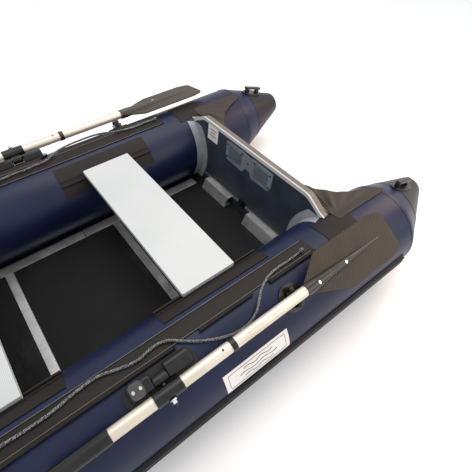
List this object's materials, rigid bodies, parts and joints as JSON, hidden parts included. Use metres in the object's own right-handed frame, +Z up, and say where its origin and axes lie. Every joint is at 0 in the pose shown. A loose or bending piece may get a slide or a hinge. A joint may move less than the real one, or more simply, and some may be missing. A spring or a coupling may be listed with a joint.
{
  "type": "inflatable dinghy",
  "caption": "Inflatable dinghy with rigid transom, sectional floor, sliding bench seats, rotating oarlocks and stowed oars.",
  "frame": {"origin": "on the ground plane under the middle of the hull's box", "axes": "+X to the bow, +Y to port, +Z up"},
  "size_m": [3.0264, 1.4967, 0.5783],
  "materials": {
    "navy_fabric": "satin",
    "black_rubber": "satin",
    "black_fabric": "matte",
    "floor_board": "matte",
    "aluminium_profile": "satin",
    "transom_ply": "satin",
    "grey_moulding": "satin",
    "grey_pad": "satin",
    "white_board": "satin",
    "black_plastic": "gloss",
    "blade_plastic": "satin",
    "champagne_aluminium": "satin",
    "bright_metal": "polished",
    "printed_plate": "satin",
    "rope_fibre": "matte",
    "pin_steel": "satin"
  },
  "bodies": {
    "hull": {"port_chamber": "navy_fabric", "starboard_chamber": "navy_fabric", "bow_chamber": "navy_fabric", "tail_cones": "navy_fabric", "tail_caps": "black_fabric", "stern_handles": "black_plastic", "rub_strake": "black_rubber", "splash_strips": "black_fabric", "bottom_skin": "black_fabric", "keel_tube": "navy_fabric", "floor_panel_aft": "floor_board", "floor_panel_middle": "floor_board", "floor_panel_forward": "floor_board", "floor_panel_bow": "floor_board", "floor_joiners": "aluminium_profile", "floor_stringers": "aluminium_profile", "transom_board": "transom_ply", "transom_trim": "grey_moulding", "transom_retainers": "grey_moulding", "motor_pad_inner": "grey_pad", "motor_pad_outer": "grey_pad", "floor_brackets": "aluminium_profile", "transom_bottom_strip": "aluminium_profile", "drain_fitting": "black_plastic", "transom_screws": "bright_metal", "label_plates": "printed_plate", "port_gusset": "black_fabric", "starboard_gusset": "black_fabric", "corner_patches": "black_fabric", "seat_straps": "black_fabric", "oarlock_bases": "black_plastic", "oar_holders": "black_plastic", "port_lifeline": "rope_fibre", "starboard_lifeline": "rope_fibre", "valve_bodies": "black_plastic", "bow_handle": "black_rubber"},
    "port_oarlock": {"port_oarlock_barrel": "pin_steel", "port_oarlock_nut": "bright_metal"},
    "port_oar": {"port_oar_shaft_aft": "champagne_aluminium", "port_oar_shaft_forward": "champagne_aluminium", "port_oar_sleeve": "black_plastic", "port_oar_grip": "black_rubber", "port_oar_blade": "blade_plastic"},
    "port_snap_button": {"port_oar_button": "black_plastic"},
    "port_valve_cap_body": {"port_valve_cap": "black_plastic"},
    "starboard_oarlock": {"starboard_oarlock_barrel": "pin_steel", "starboard_oarlock_nut": "bright_metal"},
    "starboard_oar": {"starboard_oar_shaft_aft": "champagne_aluminium", "starboard_oar_shaft_forward": "champagne_aluminium", "starboard_oar_sleeve": "black_plastic", "starboard_oar_grip": "black_rubber", "starboard_oar_blade": "blade_plastic"},
    "starboard_snap_button": {"starboard_oar_button": "black_plastic"},
    "starboard_valve_cap_body": {"starboard_valve_cap": "black_plastic"},
    "bow_valve_cap_body": {"bow_valve_cap": "black_plastic"},
    "aft_seat": {"aft_bench": "white_board", "aft_bench_hooks": "aluminium_profile"},
    "front_seat": {"front_bench": "white_board", "front_bench_hooks": "aluminium_profile"},
    "drain_plug_body": {"drain_plug": "black_plastic"}
  },
  "joints": [
    {"name": "port_oarlock_turn", "type": "hinge", "parent": "hull", "child": "port_oarlock", "pos_m": [-0.07621, 0.6214, 0.38883], "axis": [1, 0, 0], "range_deg": [0, 38]},
    {"name": "port_oar_swing", "type": "hinge", "parent": "port_oarlock", "child": "port_oar", "pos_m": [-0.07621, 0.66395, 0.38179], "axis": [0, 0.9866, -0.1631], "range_deg": [0, 2.5]},
    {"name": "port_button_press", "type": "slide", "parent": "port_oar", "child": "port_snap_button", "axis": [0, -0.1045, -0.9945], "range_m": [0, 0.003], "stiffness_N_per_m": 600},
    {"name": "port_valve_cap_turn", "type": "hinge", "parent": "hull", "child": "port_valve_cap_body", "pos_m": [0.75077, 0.35212, 0.33867], "axis": [-0.3109, -0.8229, 0.4757], "range_deg": [-90, 0]},
    {"name": "starboard_oarlock_turn", "type": "hinge", "parent": "hull", "child": "starboard_oarlock", "pos_m": [-0.07621, -0.6214, 0.38883], "axis": [1, 0, 0], "range_deg": [-14, 24]},
    {"name": "starboard_oar_swing", "type": "hinge", "parent": "starboard_oarlock", "child": "starboard_oar", "pos_m": [-0.07621, -0.66313, 0.39971], "axis": [0, 0.9677, -0.2523], "range_deg": [0, 2.5]},
    {"name": "starboard_button_press", "type": "slide", "parent": "starboard_oar", "child": "starboard_snap_button", "axis": [0, -0.309, -0.9511], "range_m": [0, 0.003], "stiffness_N_per_m": 600},
    {"name": "starboard_valve_cap_turn", "type": "hinge", "parent": "hull", "child": "starboard_valve_cap_body", "pos_m": [0.75077, -0.35212, 0.33867], "axis": [-0.3109, 0.8229, 0.4757], "range_deg": [-90, 0]},
    {"name": "bow_valve_cap_turn", "type": "hinge", "parent": "hull", "child": "bow_valve_cap_body", "pos_m": [1.16122, 0, 0.47758], "axis": [-0.766, 0, 0.6428], "range_deg": [-90, 0]},
    {"name": "aft_seat_slide", "type": "slide", "parent": "hull", "child": "aft_seat", "axis": [1, 0, 0], "range_m": [-0.1, 0.1]},
    {"name": "front_seat_slide", "type": "slide", "parent": "hull", "child": "front_seat", "axis": [1, 0, 0], "range_m": [-0.1, 0]},
    {"name": "drain_plug_pull", "type": "slide", "parent": "hull", "child": "drain_plug_body", "axis": [0.9903, 0, 0.1392], "range_m": [0, 0.02]}
  ]
}
